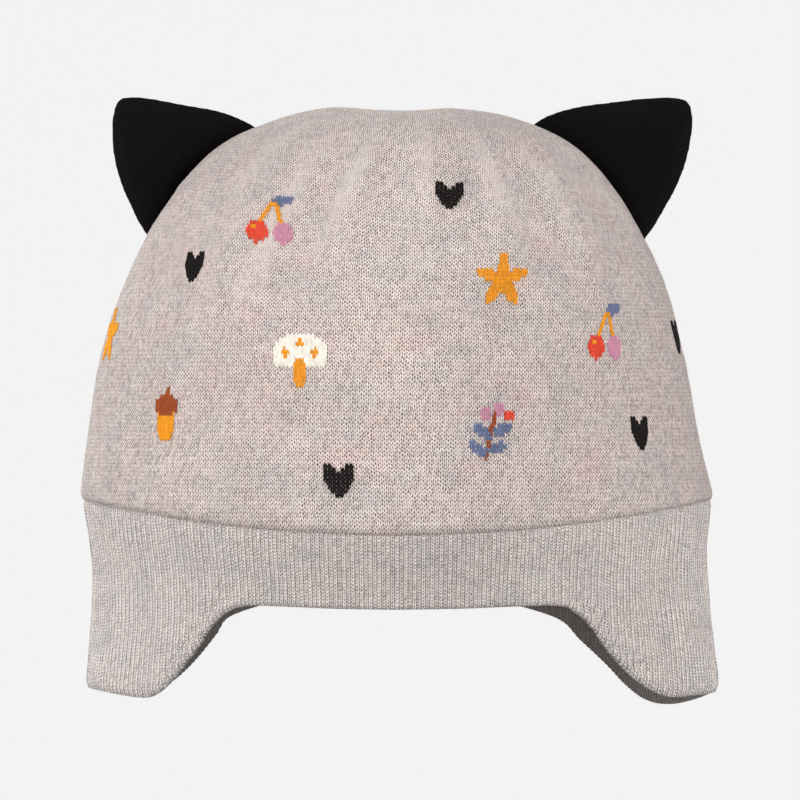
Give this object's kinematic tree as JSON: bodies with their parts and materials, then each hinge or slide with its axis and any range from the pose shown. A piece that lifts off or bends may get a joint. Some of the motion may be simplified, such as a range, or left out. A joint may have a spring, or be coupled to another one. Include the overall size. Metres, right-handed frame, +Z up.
{
  "type": "baby hat with ears",
  "caption": "Knitted baby hat with a soft domed crown, a ribbed band running down into two earflaps, and two padded black ears.",
  "frame": {"origin": "inside top of the crown, where the top of a head meets it", "axes": "+Z up, -Y towards the front of the hat, +X towards the side that a viewer in front sees on the right"},
  "size_m": [0.146, 0.164, 0.1396],
  "materials": {
    "oat_jersey": "fine doubled cotton jersey in heathered oat, matt, with small knitted-in motifs",
    "oat_rib": "fine one-by-one rib knit in heathered oat, matt",
    "black_knit": "fine black jersey over soft padding, matt"
  },
  "bodies": {
    "root": {"crown": "oat_jersey", "rib_band": "oat_rib", "ear_left": "black_knit", "ear_right": "black_knit"}
  },
  "joints": []
}
